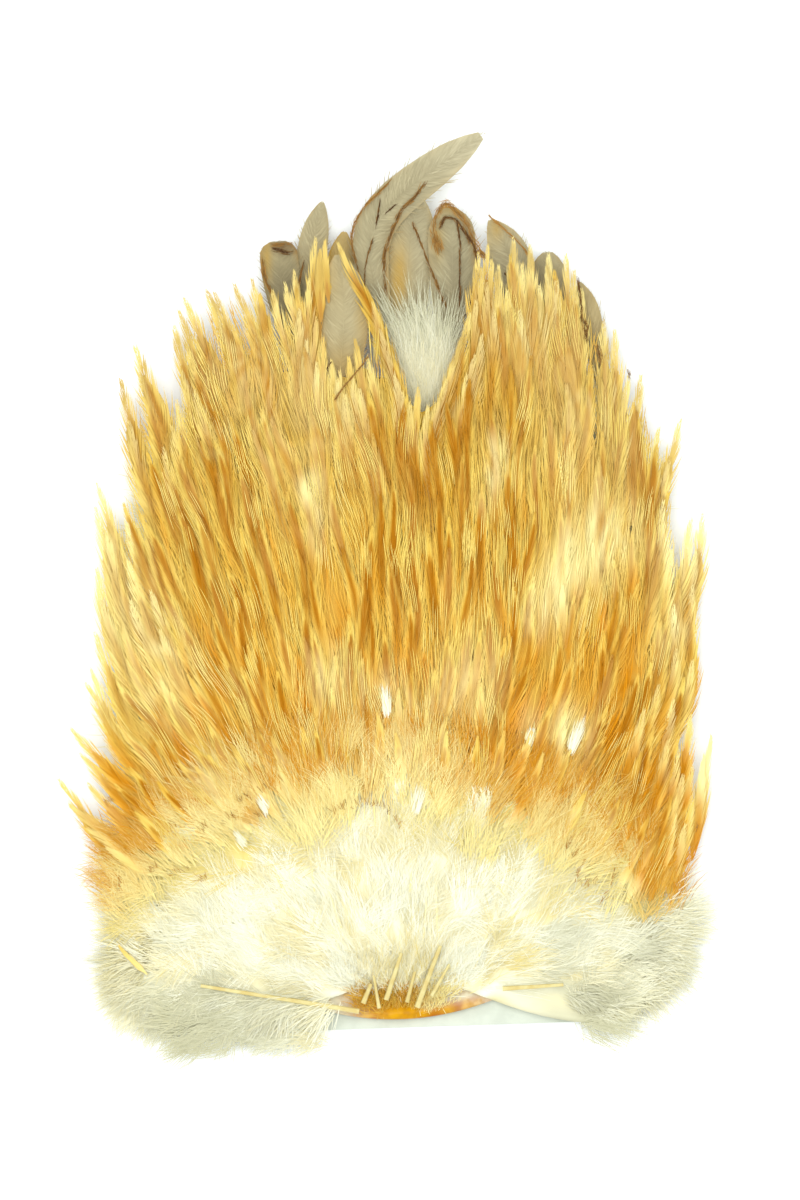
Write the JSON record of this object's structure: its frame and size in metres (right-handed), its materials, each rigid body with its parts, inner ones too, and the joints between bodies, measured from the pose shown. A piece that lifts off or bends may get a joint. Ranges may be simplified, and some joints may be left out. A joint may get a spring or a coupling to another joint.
{
  "type": "rooster saddle hackle",
  "caption": "Dried saddle patch of a rooster on a card: rows of lance-shaped golden feathers over cream down, bare quills at the cut skin edge, broad tail coverts at the other end.",
  "frame": {"origin": "middle of the plumage's outline in plan, on the back face of the card that it lies on", "axes": "+Y along the feathers from the cut skin edge to the tail coverts, +Z out of the card on the feather side, +X to the right as one looks down on the feathers"},
  "size_m": [0.1314, 0.1846, 0.0209],
  "materials": {
    "card": "matt white card",
    "skin": "dried, amber and glossy at the thick edge",
    "down": "fluffy cream down",
    "hackle": "satin golden barbs with pale yellow edges",
    "tail_down": "fluffy white down",
    "covert": "satin grey-beige vane with brown edge",
    "quill": "translucent straw-coloured keratin"
  },
  "bodies": {
    "root": {"backing_card": "card", "dried_skin": "skin", "down": "down", "saddle_hackles": "hackle", "tail_down": "tail_down", "tail_covert_01": "covert", "tail_covert_02": "covert", "tail_covert_03": "covert", "tail_covert_04": "covert", "tail_covert_05": "covert", "tail_covert_06": "covert", "tail_covert_07": "covert", "tail_covert_08": "covert", "tail_covert_09": "covert", "tail_covert_10": "covert", "bare_quill_1": "quill", "bare_quill_2": "quill", "bare_quill_3": "quill", "bare_quill_4": "quill", "bare_quill_5": "quill", "bare_quill_6": "quill", "bare_quill_7": "quill", "bare_quill_8": "quill"}
  },
  "joints": []
}
